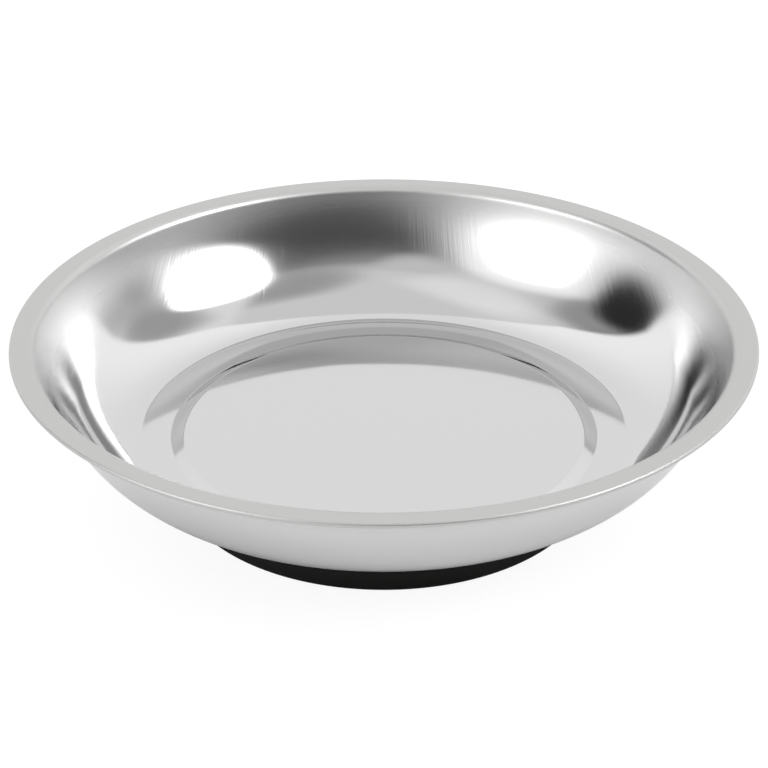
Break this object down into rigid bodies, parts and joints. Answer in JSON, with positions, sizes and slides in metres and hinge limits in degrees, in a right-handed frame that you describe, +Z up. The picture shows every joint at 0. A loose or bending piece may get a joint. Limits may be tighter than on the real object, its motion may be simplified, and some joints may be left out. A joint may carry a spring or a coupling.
{
  "type": "magnetic parts tray",
  "caption": "Round magnetic parts tray: pressed stainless dish with hemmed rim and raised floor centre, on a rubber-booted ring magnet clamped by a welded stud and nut.",
  "frame": {"origin": "middle of the rubber boot's face that rests on the bench", "axes": "+Z up along the tray's axis; X and Y lie in the bench plane and are alike, because the tray is round"},
  "size_m": [0.15, 0.15, 0.0353],
  "materials": {
    "stainless_sheet": "satin polished",
    "zinc_steel": "bright zinc plated",
    "ferrite": "sintered and ground",
    "black_rubber": "satin moulded"
  },
  "bodies": {
    "root": {"dish": "stainless_sheet", "weld_stud": "zinc_steel", "backing_plate": "zinc_steel", "ring_magnet": "ferrite", "rubber_boot": "black_rubber", "flat_washer": "zinc_steel", "spring_washer": "zinc_steel", "hex_nut": "zinc_steel"}
  },
  "joints": []
}
